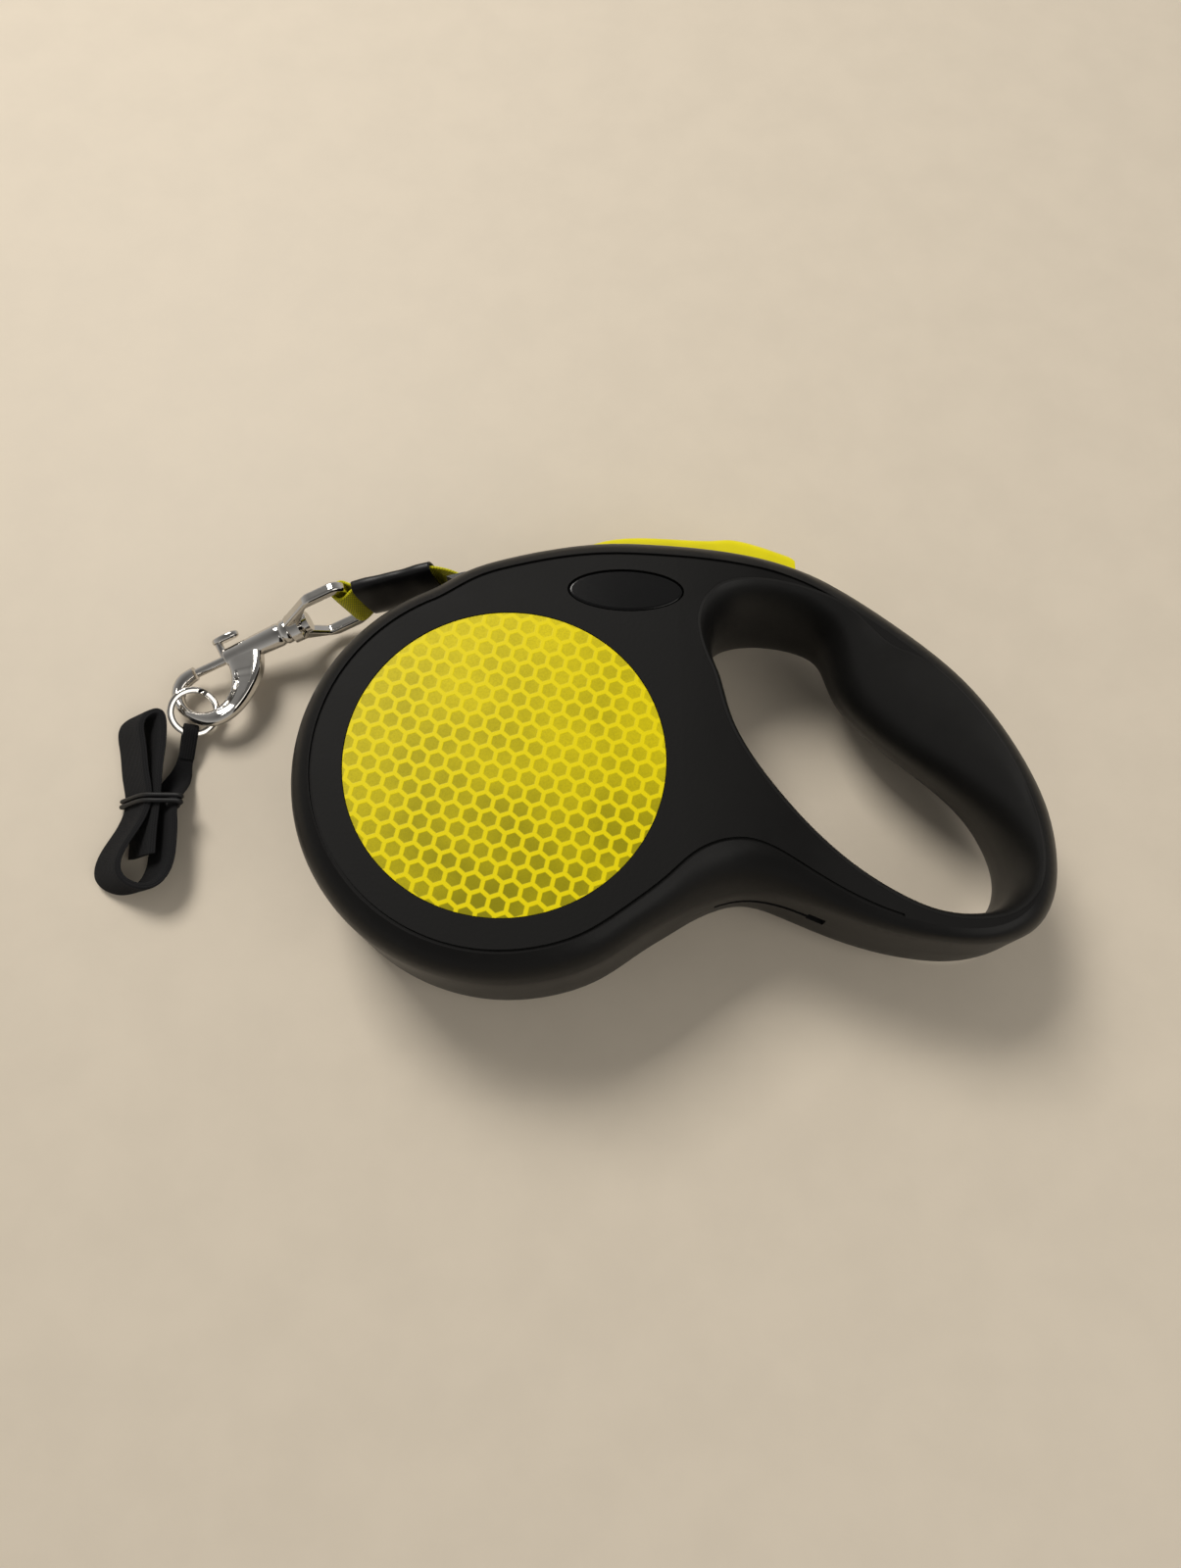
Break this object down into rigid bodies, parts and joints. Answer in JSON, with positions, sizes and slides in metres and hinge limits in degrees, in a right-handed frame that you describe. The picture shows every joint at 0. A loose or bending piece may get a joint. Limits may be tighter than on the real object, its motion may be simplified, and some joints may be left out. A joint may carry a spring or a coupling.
{
  "type": "retractable leash",
  "caption": "Retractable pet leash: round drum case with loop handle and brake button, flat tape on a spring drum, end sleeve, swivel snap hook, split ring and folded strap.",
  "frame": {"origin": "on the drum axis, at the flat left face that the leash lies on", "axes": "+Z along the drum axis, up from the table; +X from the drum toward the handle; +Y toward the brake button"},
  "size_m": [0.2321, 0.1148, 0.04],
  "materials": {
    "shell_plastic": "matte black, fine grained faces",
    "grip_rubber": "soft satin black",
    "neon_film": "neon yellow reflective film",
    "badge_gloss": "gloss black",
    "black_plastic": "satin black",
    "white_plastic": "plain",
    "zinc_steel": "zinc plated",
    "spring_steel": "blued spring steel",
    "neon_plastic": "neon yellow, smooth",
    "neon_tape": "woven neon yellow tape",
    "sleeve_vinyl": "smooth black sleeve",
    "hook_chrome": "bright plated",
    "strap_webbing": "ribbed black webbing",
    "tie_elastic": "thin black elastic"
  },
  "bodies": {
    "case": {"left_shell": "shell_plastic", "right_shell": "shell_plastic", "left_grip": "grip_rubber", "right_grip": "grip_rubber", "left_label_disc": "neon_film", "right_label_disc": "neon_film", "left_badge": "badge_gloss", "right_badge": "badge_gloss", "leash_outlet": "black_plastic", "case_screws": "zinc_steel", "axle": "zinc_steel", "axle_screw": "zinc_steel", "left_washer": "white_plastic", "right_washer": "white_plastic", "brake_spring": "spring_steel", "accessory_catch": "zinc_steel"},
    "drum": {"drum": "white_plastic", "ratchet_flange": "white_plastic", "spring_cover": "white_plastic", "power_spring": "spring_steel", "tape_winding": "neon_tape"},
    "brake_slide": {"brake_slide": "white_plastic"},
    "brake_button": {"brake_button": "neon_plastic"},
    "leash_end": {"tape_lead": "neon_tape", "end_sleeve": "sleeve_vinyl", "tape_loop": "neon_tape"},
    "swivel_eye": {"swivel_eye": "hook_chrome"},
    "hook": {"hook_body": "hook_chrome", "swivel_pin": "hook_chrome", "bolt_spring": "spring_steel"},
    "hook_bolt": {"hook_bolt": "hook_chrome"},
    "split_ring": {"split_ring": "hook_chrome"},
    "strap": {"collar_strap": "strap_webbing", "strap_strand": "strap_webbing", "strap_tie": "tie_elastic"}
  },
  "joints": [
    {"name": "leash_pull", "type": "slide", "parent": "case", "child": "leash_end", "axis": [-0.989, -0.1478, 0], "range_m": [0, 5], "deforming": ["tape_lead", "tape_winding"]},
    {"name": "drum_spin", "type": "hinge", "parent": "case", "child": "drum", "pos_m": [0, 0, 0.02], "axis": [0, 0, 1], "range_deg": [0, 9361], "deforming": ["power_spring"]},
    {"name": "eye_pivot", "type": "hinge", "parent": "leash_end", "child": "swivel_eye", "pos_m": [-0.04312, 0.05285, 0.01455], "axis": [-0.1824, -0.0726, 0.9805], "range_deg": [-75, 15]},
    {"name": "hook_swivel", "type": "hinge", "parent": "swivel_eye", "child": "hook", "pos_m": [-0.05933, 0.0464, 0.01106], "axis": [-0.9111, -0.3626, -0.1963], "continuous": true},
    {"name": "bolt_slide", "type": "slide", "parent": "hook", "child": "hook_bolt", "axis": [0.9111, 0.3626, 0.1963], "range_m": [0, 0.0065], "stiffness_N_per_m": 120, "springref_m": -0.012, "deforming": ["bolt_spring"]},
    {"name": "ring_swing", "type": "hinge", "parent": "hook", "child": "split_ring", "pos_m": [-0.08715, 0.02524, 0.00499], "axis": [-0.2077, -0.0076, 0.9782], "range_deg": [-4, 4]},
    {"name": "strap_swing", "type": "hinge", "parent": "split_ring", "child": "strap", "pos_m": [-0.08537, 0.02008, 0.00364], "axis": [-0.888, 0, 0.4599], "range_deg": [-2, 6]},
    {"name": "brake_press", "type": "slide", "parent": "case", "child": "brake_slide", "axis": [0, -1, 0], "range_m": [0, 0.0032], "stiffness_N_per_m": 400, "springref_m": -0.003, "deforming": ["brake_spring"]},
    {"name": "brake_lock", "type": "slide", "parent": "brake_slide", "child": "brake_button", "axis": [-1, 0, 0], "range_m": [0, 0.004]}
  ],
  "couplings": [
    {"joint": "drum_spin", "follows": "leash_pull", "rad_per_m": 32.673}
  ]
}
